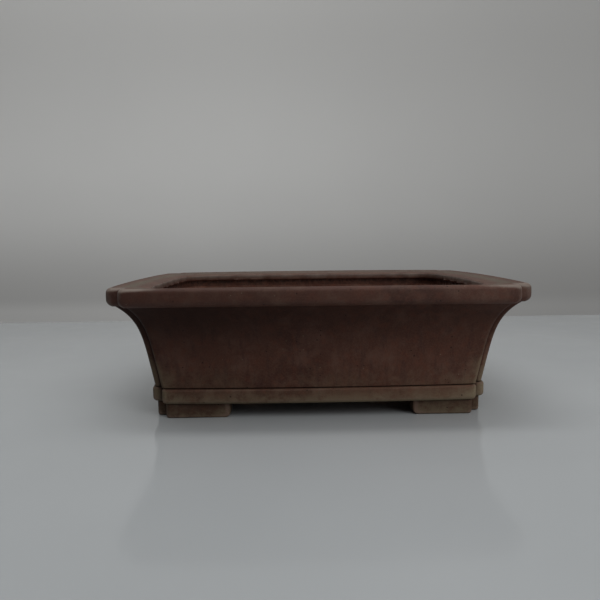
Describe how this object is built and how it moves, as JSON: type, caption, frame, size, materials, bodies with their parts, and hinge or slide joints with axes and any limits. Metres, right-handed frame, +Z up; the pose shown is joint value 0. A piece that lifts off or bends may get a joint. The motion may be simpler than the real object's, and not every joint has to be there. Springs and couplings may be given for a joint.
{
  "type": "bonsai pot",
  "caption": "Shallow rectangular bonsai pot in unglazed brown stoneware, with a flared wall, a broad flat rim, a belt, grooved corners and bracket feet.",
  "frame": {"origin": "middle of the footprint on the ground, under the centre of the floor slab", "axes": "+X along the pot's length, front long side at -Y, +Z up out of the mouth"},
  "size_m": [0.3, 0.218, 0.097],
  "materials": {
    "body_stoneware": "unglazed, matt, red-brown to purple-brown, finely speckled",
    "rim_stoneware": "unglazed, slightly burnished, paler where it is handled",
    "belt_stoneware": "unglazed, with a grey-ochre bloom of age",
    "foot_stoneware": "unglazed, matt, with a little ochre bloom"
  },
  "bodies": {
    "root": {"floor_slab": "body_stoneware", "wall_front": "body_stoneware", "wall_back": "body_stoneware", "wall_left": "body_stoneware", "wall_right": "body_stoneware", "rim_front": "rim_stoneware", "rim_back": "rim_stoneware", "rim_left": "rim_stoneware", "rim_right": "rim_stoneware", "belt_front": "belt_stoneware", "belt_back": "belt_stoneware", "belt_left": "belt_stoneware", "belt_right": "belt_stoneware", "foot_front_left": "foot_stoneware", "foot_front_right": "foot_stoneware", "foot_back_left": "foot_stoneware", "foot_back_right": "foot_stoneware", "corner_coil_front_left": "body_stoneware", "corner_coil_front_right": "body_stoneware", "corner_coil_back_left": "body_stoneware", "corner_coil_back_right": "body_stoneware", "seam_coil_front": "body_stoneware", "seam_coil_back": "body_stoneware", "seam_coil_left": "body_stoneware", "seam_coil_right": "body_stoneware"}
  },
  "joints": []
}
